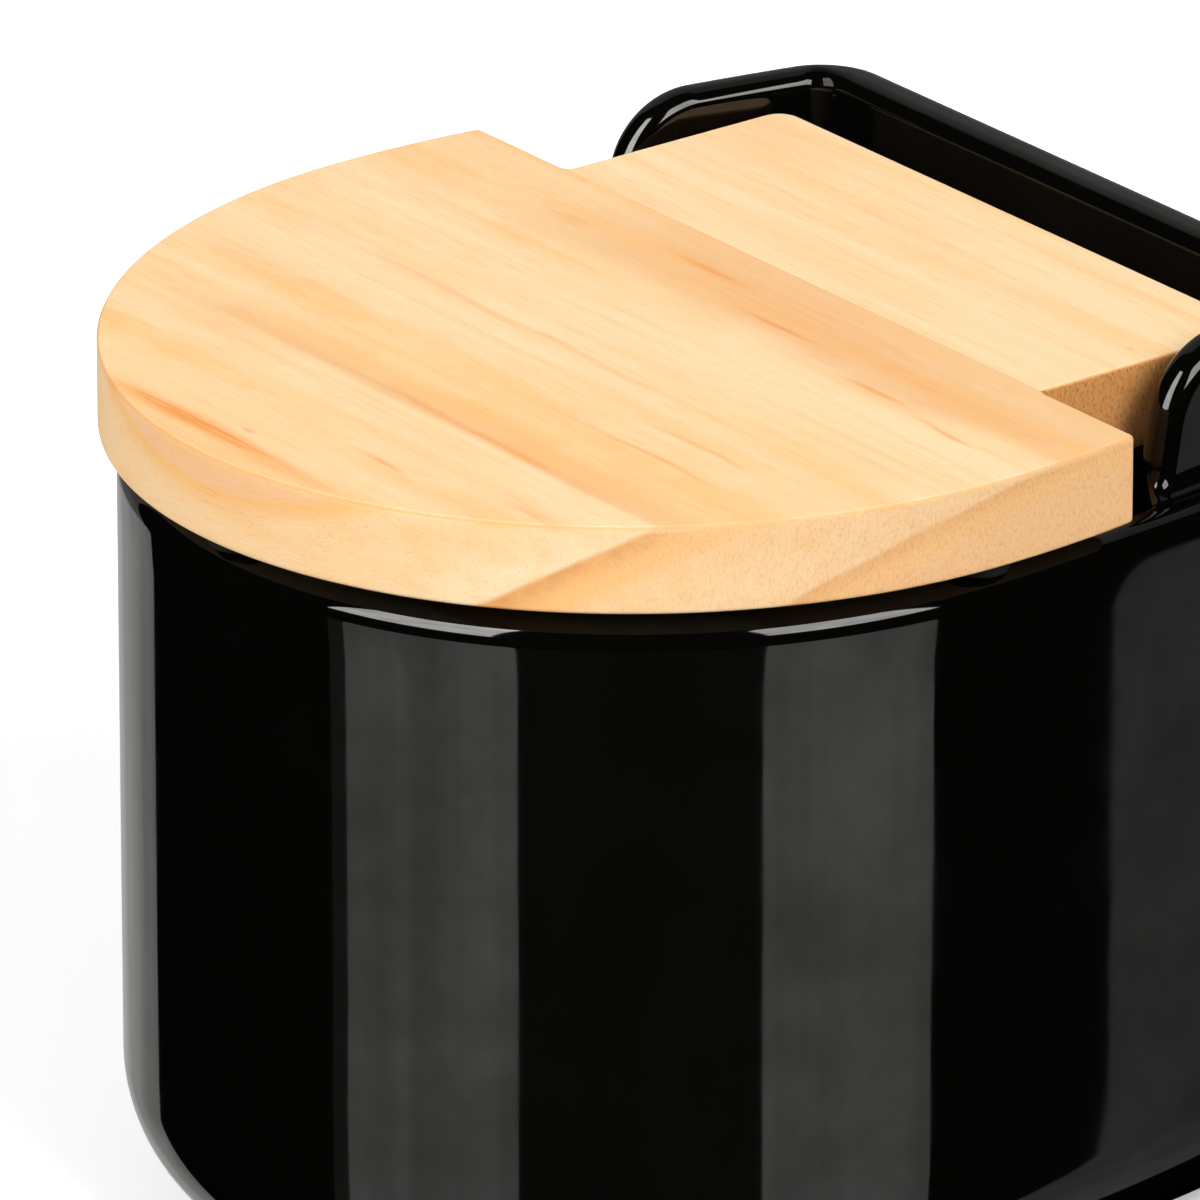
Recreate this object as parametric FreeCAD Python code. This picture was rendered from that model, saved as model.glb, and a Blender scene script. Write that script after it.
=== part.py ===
import FreeCAD, Part

import math
import os

# A salt box: a glazed pot with a raised collar at the back, and a wooden lid hinged between its cheeks.
# Millimetres, +Z up, front towards -Y. The origin is the middle of the footprint, on the table.

# Pot, seen from above: an oval front, sides that draw in towards the back, a flat back
POT_WIDTH = 125.6
POT_FRONT = 67.9  # from the widest line to the front
POT_BACK = 71.6  # from the widest line to the flat back
SIDE_RADIUS = 300.0

# Pot, seen from the side
RIM_HEIGHT = 96.6
BASE_ROUND = 18.0
BASE_CORNER_RADIUS = 2.0  # left at the rear corners of the flat base
WALL = 6.4
RIM_OUTER_ROUND = 3.2
RIM_LAND = 0.8  # flat crown of the rim
FLOOR_THICKNESS = 7.0
FOOT_RING_WIDTH = 6.0
FOOT_RECESS = 1.2
RECESS_CORNER_RADIUS = 8.0

# Collar: the back wall and the two cheeks, standing on the rim
COLLAR_INSET = 6.2  # width of the ledge outside the collar
CHEEK_THICKNESS = 5.0
BACK_WALL_THICKNESS = 6.0
COLLAR_CORNER_RADIUS = 9.4
MOUTH_CORNER_RADIUS = 5.0
CHEEK_ABOVE_LID = 4.0  # top of the cheeks' front above the lid
BACK_ABOVE_LID = 3.6  # top of the back wall above the lid
COLLAR_ROOT = 9.0  # how far the collar reaches down inside the wall
COLLAR_CREST = 0.4  # flat width left between the cheeks' rounded edges
CHEEK_SETBACK = 10.6  # from the lid's shoulder line to the cheek's foot
CHEEK_LEAN = 11.0  # degrees from upright
CHEEK_TOP_ROUND = 11.0

# Lid: an oval front board and a narrower tongue, glued edge to edge
LID_OVERHANG = 2.2
LID_THICKNESS = 11.0
LID_SIDE_RADIUS = 140.0
SHOULDER_LINE = 19.6  # from the widest line to the shoulders
CHEEK_GAP = 0.75  # from the tongue's side to the cheek, at the tongue's end
TONGUE_GAP = 6.2  # from the tongue's end to the back wall
TONGUE_CORNER_RADIUS = 3.0
LID_EDGE_ROUND = 0.5

# Soft bumpers between lid and rim
BUMPER_HEIGHT = 2.4
BUMPER_DIAMETER = 7.0
BUMPER_EDGE_ROUND = 0.6

# Hinge
PIN_DIAMETER = 4.0
PIN_SETBACK = 8.0  # from the tongue's end to the pin's axis
PIN_GRIP = 20.0  # length of pin held in the tongue
PIN_CLEARANCE = 0.05
PIN_RECESS = 0.8  # pin's end below the outside of its bush
PIN_CHAMFER = 0.4
BUSH_DIAMETER = 8.0
BUSH_RECESS = 0.4  # bush's ends below the faces of the cheek

# Derived places
HALF_WIDTH = POT_WIDTH / 2
BODY_CORNER_RADIUS = BASE_ROUND + BASE_CORNER_RADIUS
RIM_INNER_ROUND = WALL - RIM_OUTER_ROUND - RIM_LAND
LAND_INSET = RIM_OUTER_ROUND + RIM_LAND / 2
COLLAR_EDGE_ROUND = (CHEEK_THICKNESS - COLLAR_CREST) / 2
WIDEST_Y = (POT_FRONT + LID_OVERHANG - POT_BACK) / 2
FRONT_Y = WIDEST_Y - POT_FRONT
BACK_Y = WIDEST_Y + POT_BACK
MOUTH_INSET = COLLAR_INSET + CHEEK_THICKNESS
MOUTH_BACK_Y = BACK_Y - COLLAR_INSET - BACK_WALL_THICKNESS
LID_Z = RIM_HEIGHT + BUMPER_HEIGHT
LID_TOP_Z = LID_Z + LID_THICKNESS
SHOULDER_Y = WIDEST_Y + SHOULDER_LINE
CHEEK_FOOT_Y = SHOULDER_Y + CHEEK_SETBACK
TONGUE_END_Y = MOUTH_BACK_Y - TONGUE_GAP
PIN_Y = TONGUE_END_Y - PIN_SETBACK
PIN_Z = LID_Z + LID_THICKNESS / 2
FAR = 2 * (POT_WIDTH + POT_FRONT + POT_BACK)  # longer than the whole part


def point(x, y, z):
    return FreeCAD.Vector(x, y, z)


def straight(start, end):
    return Part.LineSegment(start, end).toShape()


def arc(start, middle, end):
    return Part.Arc(start, middle, end).toShape()


def quarter_oval(start, corner, end):
    """A quarter of an ellipse from start to end, whose end tangents meet at corner."""
    curve = Part.BezierCurve()
    curve.setPoles([start, corner, end])
    curve.setWeight(2, math.cos(math.pi / 4))
    return curve.toShape()


def side_x(inset, y, radius):
    """Half the width, at y, of a plan drawn in by inset, whose side bows with the given radius."""
    return HALF_WIDTH - inset - radius + math.sqrt(radius**2 - (y - WIDEST_Y) ** 2)


def pot_side_x(inset, y):
    return side_x(inset, y, SIDE_RADIUS - inset)


def tongue_half_width():
    """The cheeks draw in towards the back, so the tongue fits between them at its end."""
    return pot_side_x(MOUTH_INSET, TONGUE_END_Y) - CHEEK_GAP


def oval_front(inset, z):
    """The plan's front, from its widest place on the left to its widest place on the right."""
    half = HALF_WIDTH - inset
    front_y = FRONT_Y + inset
    left = point(-half, WIDEST_Y, z)
    right = point(half, WIDEST_Y, z)
    tip = point(0, front_y, z)
    return [
        quarter_oval(left, point(-half, front_y, z), tip),
        quarter_oval(tip, point(half, front_y, z), right),
    ]


def side_arc(inset, end_y, radius, z):
    """The right side's bow, from the widest place back to end_y."""
    middle_y = (WIDEST_Y + end_y) / 2
    start = point(HALF_WIDTH - inset, WIDEST_Y, z)
    middle = point(side_x(inset, middle_y, radius), middle_y, z)
    return arc(start, middle, point(side_x(inset, end_y, radius), end_y, z))


def mirrored(edge):
    """The same edge on the left side."""
    return edge.mirror(FreeCAD.Vector(0, 0, 0), FreeCAD.Vector(1, 0, 0))


def closed_face(edges):
    return Part.Face(Part.Wire(Part.__sortEdges__(edges)))


def pot_plan(inset, back_y, corner_radius, z):
    """The pot's plan drawn in by inset, with a flat back at back_y and its rear corners rounded."""
    bow = SIDE_RADIUS - inset
    bow_x = HALF_WIDTH - SIDE_RADIUS
    corner_y = back_y - corner_radius
    reach = bow - corner_radius
    corner_x = bow_x + math.sqrt(reach**2 - (corner_y - WIDEST_Y) ** 2)
    turn = math.atan2(corner_y - WIDEST_Y, corner_x - bow_x)
    middle = (turn + math.pi / 2) / 2
    start_x = bow_x + bow * math.cos(turn)
    start_y = WIDEST_Y + bow * math.sin(turn)
    side = side_arc(inset, start_y, bow, z)
    corner = arc(
        point(start_x, start_y, z),
        point(corner_x + corner_radius * math.cos(middle), corner_y + corner_radius * math.sin(middle), z),
        point(corner_x, back_y, z),
    )
    back = straight(point(corner_x, back_y, z), point(-corner_x, back_y, z))
    return closed_face(oval_front(inset, z) + [side, corner, back, mirrored(corner), mirrored(side)])


def inset_plan(inset, z):
    """The body's own plan, drawn in evenly."""
    return pot_plan(inset, BACK_Y - inset, BODY_CORNER_RADIUS - inset, z)


def prism(face, height):
    return face.extrude(point(0, 0, height))


def edges_at(shape, z):
    """The edges that lie wholly at height z."""
    return [e for e in shape.Edges if abs(e.BoundBox.ZMin - z) < 1e-6 and abs(e.BoundBox.ZMax - z) < 1e-6]


def middle_of(edge):
    return edge.valueAt((edge.FirstParameter + edge.LastParameter) / 2)


def face_normal(face):
    first_u, last_u, first_v, last_v = face.ParameterRange
    return face.normalAt((first_u + last_u) / 2, (first_v + last_v) / 2)


def along_x(y, z, radius, start_x, length):
    """A round bar along X."""
    return Part.makeCylinder(radius, length, point(start_x, y, z), point(1, 0, 0))


def make_body():
    """The pot up to its rim: outside, hollow and foot."""
    body = prism(pot_plan(0, BACK_Y, BODY_CORNER_RADIUS, 0), RIM_HEIGHT)
    body = body.makeFillet(BASE_ROUND, edges_at(body, 0))
    body = body.makeFillet(RIM_OUTER_ROUND, edges_at(body, RIM_HEIGHT))
    hollow = prism(inset_plan(WALL, FLOOR_THICKNESS), RIM_HEIGHT)
    hollow = hollow.makeFillet(BASE_ROUND - WALL, edges_at(hollow, FLOOR_THICKNESS))
    body = body.cut(hollow)
    outside = inset_plan(WALL - RIM_INNER_ROUND, RIM_HEIGHT)
    inner_rim = [e for e in edges_at(body, RIM_HEIGHT) if outside.isInside(middle_of(e), 0.01, False)]
    body = body.makeFillet(RIM_INNER_ROUND, inner_rim)
    recess_inset = BASE_ROUND + FOOT_RING_WIDTH
    recess = pot_plan(recess_inset, BACK_Y - recess_inset, RECESS_CORNER_RADIUS, 0)
    return body.cut(prism(recess, FOOT_RECESS))


def collar_side_view():
    """The collar's side view as a slab along X: leaning front, rounded brow, top falling to the back."""
    root_z = RIM_HEIGHT - COLLAR_ROOT
    brow_z = LID_TOP_Z + CHEEK_ABOVE_LID
    slope = math.tan(math.radians(CHEEK_LEAN))
    corners = [
        point(-FAR / 2, CHEEK_FOOT_Y - COLLAR_ROOT * slope, root_z),
        point(-FAR / 2, CHEEK_FOOT_Y + (brow_z - RIM_HEIGHT) * slope, brow_z),
        point(-FAR / 2, BACK_Y, LID_TOP_Z + BACK_ABOVE_LID),
        point(-FAR / 2, BACK_Y, root_z),
    ]
    slab = Part.Face(Part.makePolygon(corners + corners[:1])).extrude(point(FAR, 0, 0))
    brow = [e for e in slab.Edges if e.BoundBox.XLength > 1 and abs(middle_of(e).z - brow_z) < 1e-6]
    return slab.makeFillet(CHEEK_TOP_ROUND, brow)


def make_collar():
    """The back wall and cheeks, with a sloping root inside the pot's wall and rounded edges above it."""
    root_z = RIM_HEIGHT - COLLAR_ROOT
    mouth = prism(pot_plan(MOUTH_INSET, MOUTH_BACK_Y, MOUTH_CORNER_RADIUS, root_z), FAR)
    side_view = collar_side_view()
    wall = prism(pot_plan(COLLAR_INSET, BACK_Y - COLLAR_INSET, COLLAR_CORNER_RADIUS, root_z), FAR).cut(mouth)
    wall = wall.common(side_view)
    wall = wall.makeFillet(COLLAR_EDGE_ROUND, brow_edges(wall, root_z))
    ledge = prism(inset_plan(RIM_OUTER_ROUND, root_z), COLLAR_ROOT).cut(mouth)
    collar = wall.fuse(ledge.common(side_view))
    slope_rise = MOUTH_INSET - WALL
    slope_start = inset_plan(WALL, root_z).OuterWire
    slope_end = pot_plan(MOUTH_INSET, MOUTH_BACK_Y, MOUTH_CORNER_RADIUS, root_z + slope_rise).OuterWire
    return collar.cut(Part.makeLoft([slope_start, slope_end], True, True))


def brow_edges(wall, root_z):
    """The edges where the collar's upright faces meet its front, brow and top."""
    tops = [f for f in wall.Faces if face_normal(f).z > 0.05]
    seams = [e for f in tops for e in f.Edges]
    once = [e for e in seams if sum(e.isSame(other) for other in seams) == 1]
    return [e for e in once if middle_of(e).z > root_z + 1e-6]


def make_pot():
    pot = make_body().fuse(make_collar()).removeSplitter()
    bore = along_x(PIN_Y, PIN_Z, BUSH_DIAMETER / 2, -FAR / 2, FAR)
    return pot.cut(bore)


def eased(board):
    """The board with its top and bottom edges rounded, apart from those on the glue line."""
    edges = edges_at(board, LID_Z) + edges_at(board, LID_TOP_Z)
    return board.makeFillet(LID_EDGE_ROUND, [e for e in edges if abs(middle_of(e).y - SHOULDER_Y) > 1e-6])


def make_lid_board():
    """The lid's front board: an oval front, bowed sides and a straight back whose ends are the shoulders."""
    shoulder_x = side_x(-LID_OVERHANG, SHOULDER_Y, LID_SIDE_RADIUS)
    side = side_arc(-LID_OVERHANG, SHOULDER_Y, LID_SIDE_RADIUS, LID_Z)
    back = straight(point(shoulder_x, SHOULDER_Y, LID_Z), point(-shoulder_x, SHOULDER_Y, LID_Z))
    outline = oval_front(-LID_OVERHANG, LID_Z) + [side, back, mirrored(side)]
    return eased(prism(closed_face(outline), LID_THICKNESS))


def make_lid_tongue():
    """The lid's rear board, glued to the front one, with rounded rear corners and two blind pin bores."""
    half = tongue_half_width()
    corner_x = half - TONGUE_CORNER_RADIUS
    corner_y = TONGUE_END_Y - TONGUE_CORNER_RADIUS
    bend = TONGUE_CORNER_RADIUS * math.sqrt(0.5)
    edge = straight(point(half, SHOULDER_Y, LID_Z), point(half, corner_y, LID_Z))
    corner = arc(
        point(half, corner_y, LID_Z),
        point(corner_x + bend, corner_y + bend, LID_Z),
        point(corner_x, TONGUE_END_Y, LID_Z),
    )
    end = straight(point(corner_x, TONGUE_END_Y, LID_Z), point(-corner_x, TONGUE_END_Y, LID_Z))
    glue_line = straight(point(half, SHOULDER_Y, LID_Z), point(-half, SHOULDER_Y, LID_Z))
    outline = [glue_line, edge, corner, end, mirrored(corner), mirrored(edge)]
    tongue = eased(prism(closed_face(outline), LID_THICKNESS))
    for start_x in (-half, half - PIN_GRIP):
        tongue = tongue.cut(along_x(PIN_Y, PIN_Z, PIN_DIAMETER / 2, start_x, PIN_GRIP))
    return tongue


def make_bumper(x, y):
    """A soft disc stuck under the lid, standing on the rim's flat land."""
    disc = Part.makeCylinder(BUMPER_DIAMETER / 2, BUMPER_HEIGHT, point(x, y, RIM_HEIGHT))
    return disc.makeFillet(BUMPER_EDGE_ROUND, edges_at(disc, RIM_HEIGHT))


def make_bush(side):
    """A sleeve in a cheek's bore, its ends below the faces. side is 1 on the right, -1 on the left."""
    inner_x = pot_side_x(MOUTH_INSET, PIN_Y) + BUSH_RECESS
    outer_x = pot_side_x(COLLAR_INSET, PIN_Y) - BUSH_RECESS
    length = outer_x - inner_x
    start_x = inner_x if side > 0 else -outer_x
    sleeve = along_x(PIN_Y, PIN_Z, BUSH_DIAMETER / 2, start_x, length)
    return sleeve.cut(along_x(PIN_Y, PIN_Z, PIN_DIAMETER / 2 + PIN_CLEARANCE, start_x, length))


def make_pin(side):
    """A steel pin from inside the bush's mouth to the end of the tongue's bore."""
    outer_x = pot_side_x(COLLAR_INSET, PIN_Y) - BUSH_RECESS - PIN_RECESS
    inner_x = tongue_half_width() - PIN_GRIP
    start_x = inner_x if side > 0 else -outer_x
    pin = along_x(PIN_Y, PIN_Z, PIN_DIAMETER / 2, start_x, outer_x - inner_x)
    rings = [e for e in pin.Edges if e.BoundBox.XLength < 1e-6]
    return pin.makeChamfer(PIN_CHAMFER, rings)


NODES = {
    "pot": make_pot(),
    "lid_board": make_lid_board(),
    "lid_tongue": make_lid_tongue(),
    "lid_bumper_front": make_bumper(0, FRONT_Y + LAND_INSET),
    "lid_bumper_left": make_bumper(LAND_INSET - HALF_WIDTH, WIDEST_Y),
    "lid_bumper_right": make_bumper(HALF_WIDTH - LAND_INSET, WIDEST_Y),
    "hinge_bush_left": make_bush(-1),
    "hinge_bush_right": make_bush(1),
    "hinge_pin_left": make_pin(-1),
    "hinge_pin_right": make_pin(1),
}

os.makedirs("parts", exist_ok=True)
for name, shape in NODES.items():
    shape.exportStep(f"parts/{name}.step")
    print(name, "solids", len(shape.Solids), "valid", shape.isValid(), "volume", round(shape.Volume, 1))
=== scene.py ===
import math

import bpy
import numpy as np
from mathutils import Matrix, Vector


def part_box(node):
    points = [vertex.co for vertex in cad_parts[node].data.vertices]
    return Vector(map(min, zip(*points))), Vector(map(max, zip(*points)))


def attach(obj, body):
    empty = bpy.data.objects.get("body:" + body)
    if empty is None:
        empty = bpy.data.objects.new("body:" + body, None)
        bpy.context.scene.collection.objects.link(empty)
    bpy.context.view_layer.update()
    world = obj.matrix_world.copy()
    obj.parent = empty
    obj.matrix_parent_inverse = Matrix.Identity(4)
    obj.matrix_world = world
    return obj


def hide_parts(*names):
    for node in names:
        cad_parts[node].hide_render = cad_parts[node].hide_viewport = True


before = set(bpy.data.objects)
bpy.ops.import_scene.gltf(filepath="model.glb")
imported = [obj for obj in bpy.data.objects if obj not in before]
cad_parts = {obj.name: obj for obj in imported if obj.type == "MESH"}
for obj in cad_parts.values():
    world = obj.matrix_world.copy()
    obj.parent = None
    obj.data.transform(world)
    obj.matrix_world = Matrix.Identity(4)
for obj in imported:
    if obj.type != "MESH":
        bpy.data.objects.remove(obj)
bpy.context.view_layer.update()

METRES = 0.001  # shapes are worked out in millimetres and stored in metres


def node_box(node):
    """A node's lowest and highest corners, in millimetres."""
    low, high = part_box(node)
    return np.array(low) / METRES, np.array(high) / METRES


# Places read from the frame
POT_LOW, POT_HIGH = node_box("pot")
BOARD_LOW, BOARD_HIGH = node_box("lid_board")
TONGUE_LOW, TONGUE_HIGH = node_box("lid_tongue")
BUMPER_LOW, BUMPER_HIGH = node_box("lid_bumper_right")
BUSH_LOW, BUSH_HIGH = node_box("hinge_bush_right")
HALF_WIDTH = POT_HIGH[0]
FRONT_Y = POT_LOW[1]
BACK_Y = POT_HIGH[1]
MIDDLE_Y = (FRONT_Y + BACK_Y) / 2
COLLAR_TOP_Z = POT_HIGH[2]
RIM_Z = BUMPER_LOW[2]
WIDEST_Y = (BUMPER_LOW[1] + BUMPER_HIGH[1]) / 2
SHOULDER_Y = BOARD_HIGH[1]
LID_Z = BOARD_LOW[2]
LID_TOP_Z = BOARD_HIGH[2]
PIN_Y, PIN_Z = ((BUSH_LOW + BUSH_HIGH) / 2)[1:]
BORE_RADIUS = (BUSH_HIGH - BUSH_LOW)[2] / 2

# Pot, in millimetres
SIDE_RADIUS = 300.0
BODY_CORNER = 20.0
BASE_ROUND = 18.0
WALL = 6.4
RIM_OUTER_ROUND = 3.2
RIM_LAND = 0.8
RIM_INNER_ROUND = WALL - RIM_OUTER_ROUND - RIM_LAND
FLOOR_THICKNESS = 7.0
FOOT_RING_WIDTH = 6.0
FOOT_RECESS = 1.2
FOOT_EASE = 0.4
RECESS_RINGS = [0.4, 0.75]  # rings of the grid under the base, as shares of the way out
FLOOR_RINGS = [0.8, 0.4]  # the same on the floor inside, from the wall to the middle

# Collar
COLLAR_INSET = 6.2
COLLAR_CORNER = 15.6  # rear corner's radius, carried out to the pot's own plan
CHEEK_THICKNESS = 5.0
BACK_WALL_THICKNESS = 6.0
MOUTH_INSET = COLLAR_INSET + CHEEK_THICKNESS
MIDDLE_INSET = COLLAR_INSET + CHEEK_THICKNESS / 2
EDGE_ROUND = 2.3
COLLAR_ROOT = 9.0
CHEEK_FOOT_Y = SHOULDER_Y + 10.6
CHEEK_SLOPE = math.radians(79.0)  # of the cheek's leaning front
BROW_ROUND = 11.0
BACK_FALL = 0.4  # the collar's top falls this much to the back
LEDGE_BLEND = 2.2  # hollow of the glaze where the collar stands on the ledge
LEDGE_SHARE = 0.3  # how far the ledge has turned into collar where the hollow starts
CURL_ROUND = 3.5  # hollow at the foot of the cheek's front

# Lid
LID_FRONT = WIDEST_Y - BOARD_LOW[1]
LID_HALF_WIDTH = BOARD_HIGH[0]
LID_SIDE_RADIUS = 140.0
LID_EDGE_ROUND = 0.5
SHOULDER_TIP_ROUND = 0.8
TONGUE_HALF_WIDTH = TONGUE_HIGH[0]
TONGUE_CORNER_RADIUS = 3.0
GLUE_LINE_ROUND = 0.05
SEAM_STEP = 1.0  # over this length the rounded edge shrinks to the glue line
FLAT_BORDER = 0.15  # flat strip between a rounded edge and the board's face

SHARP_ANGLE = math.radians(50)


# Mesh building

def closed_quads(rows, columns):
    """Corner numbers of the quads of a grid whose columns close round."""
    index = np.arange(rows * columns).reshape(rows, columns)
    below, above = index[:-1], index[1:]
    return np.stack([below, np.roll(below, -1, 1), np.roll(above, -1, 1), above], -1).reshape(-1, 4)


def add_piece(name, points, faces, material):
    """A smooth mesh object at the origin from points in millimetres."""
    mesh = bpy.data.meshes.new(name)
    mesh.from_pydata((points * METRES).tolist(), [], faces)
    mesh.polygons.foreach_set("use_smooth", np.ones(len(faces), dtype=bool))
    mesh.set_sharp_from_angle(angle=SHARP_ANGLE)
    mesh.materials.append(material)
    mesh.update()
    piece = bpy.data.objects.new(name, mesh)
    bpy.context.scene.collection.objects.link(piece)
    return piece


def stretch(start, end, count):
    """Evenly spaced values from start up to, but not including, end."""
    return np.linspace(start, end, count, endpoint=False)


def ease(t):
    """A smooth step: 0 below 0, 1 above 1, level at both ends."""
    t = np.clip(t, 0, 1)
    return t * t * (3 - 2 * t)


# Pot

def side_turn(corner):
    """Angle of the side's bow from the widest line to the start of the rear corner."""
    return np.arcsin((BACK_Y - corner - WIDEST_Y) / (SIDE_RADIUS - corner))


def plan(s, inset, corner):
    """Points of the pot's plan, drawn in by inset, with rear corners of the given radius.

    s runs from 0 at the front tip to 1 round a quarter of an ellipse, to 2 along the side's
    bow, to 3 round the rear corner and to 4 at the middle of the back. Each stretch is drawn
    in by making its own radius smaller.
    """
    turn = side_turn(corner)
    bow_x = HALF_WIDTH - SIDE_RADIUS
    corner_x = bow_x + (SIDE_RADIUS - corner) * np.cos(turn)
    corner_y = BACK_Y - corner
    oval = np.clip(s, 0, 1) * np.pi / 2
    bow = np.clip(s - 1, 0, 1) * turn
    bend = turn + np.clip(s - 2, 0, 1) * (np.pi / 2 - turn)
    along = np.clip(s - 3, 0, 1)
    stretches = [s < 1, s < 2, s < 3]
    x = np.select(
        stretches,
        [
            (HALF_WIDTH - inset) * np.sin(oval),
            bow_x + (SIDE_RADIUS - inset) * np.cos(bow),
            corner_x + (corner - inset) * np.cos(bend),
        ],
        corner_x * (1 - along),
    )
    y = np.select(
        stretches,
        [
            WIDEST_Y - (WIDEST_Y - FRONT_Y - inset) * np.cos(oval),
            WIDEST_Y + (SIDE_RADIUS - inset) * np.sin(bow),
            corner_y + (corner - inset) * np.sin(bend),
        ],
        BACK_Y - inset,
    )
    return x, y


def cheek_edge():
    """The cheek's edge seen from the side, from the rim to the top.

    A hollow arc turns up from the rim, a straight line leans back, and a round brow turns
    level again. Returns y, the height above the rim, the angle by which the edge faces forward,
    which is also the slope of the curve, how much of the section is collar, and y at the end.
    """
    height = COLLAR_TOP_Z - RIM_Z
    slope = CHEEK_SLOPE
    tangent = math.tan(slope / 2)
    curl = stretch(0, slope, 24)
    brow = stretch(slope, 0, 44)
    lean = stretch(CURL_ROUND * tangent, height / math.sin(slope) - BROW_ROUND * tangent, 20)
    curl_y = CHEEK_FOOT_Y - CURL_ROUND * tangent + CURL_ROUND * np.sin(curl)
    lean_y = CHEEK_FOOT_Y + lean * math.cos(slope)
    brow_end = CHEEK_FOOT_Y + height / math.tan(slope) + BROW_ROUND * tangent
    brow_y = brow_end - BROW_ROUND * np.sin(brow)
    curl_rise = CURL_ROUND * (1 - np.cos(curl))
    lean_rise = lean * math.sin(slope)
    brow_rise = height - BROW_ROUND * (1 - np.cos(brow))
    y = np.concatenate([curl_y, lean_y, brow_y])
    rise = np.concatenate([curl_rise, lean_rise, brow_rise])
    facing = np.concatenate([curl, np.full(len(lean), slope), brow])
    collar = np.concatenate([ease(curl / slope), np.ones(len(lean) + len(brow))])
    return y, rise, facing, collar, brow_end


def rim_stations():
    """Stations along half the rim, from the front tip to the middle of the back.

    Returns each station's place on the plan, the collar's height above the rim, the angle by
    which the collar's edge faces forward, and how much of the section is collar, from 0 to 1.
    """
    edge_y, edge_rise, edge_facing, edge_collar, brow_end = cheek_edge()
    side_end = WIDEST_Y + (SIDE_RADIUS - MIDDLE_INSET) * math.sin(side_turn(COLLAR_CORNER))
    front_side = stretch(WIDEST_Y, edge_y[0], 16)
    rear_side = stretch(brow_end, side_end, 16)
    side_y = np.concatenate([front_side, edge_y, rear_side])
    bow = np.arcsin((side_y - WIDEST_Y) / (SIDE_RADIUS - MIDDLE_INSET))
    oval = stretch(0, 1, 64)
    rear = np.concatenate([stretch(2, 3, 26), np.linspace(3, 4, 28)])
    s = np.concatenate([oval, 1 + bow / side_turn(COLLAR_CORNER), rear])
    before = len(oval) + len(front_side)
    after = len(rear_side) + len(rear)
    top = (COLLAR_TOP_Z - RIM_Z) * np.ones(after)
    depth = np.concatenate([rear_side, plan(rear, MIDDLE_INSET, COLLAR_CORNER)[1]])
    top -= BACK_FALL * (depth - brow_end) / (BACK_Y - brow_end)
    rise = np.concatenate([np.zeros(before), edge_rise, top])
    facing = np.concatenate([np.zeros(before), edge_facing, np.zeros(after)])
    collar = np.concatenate([np.zeros(before), edge_collar, np.ones(after)])
    return s, rise, facing, collar


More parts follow.
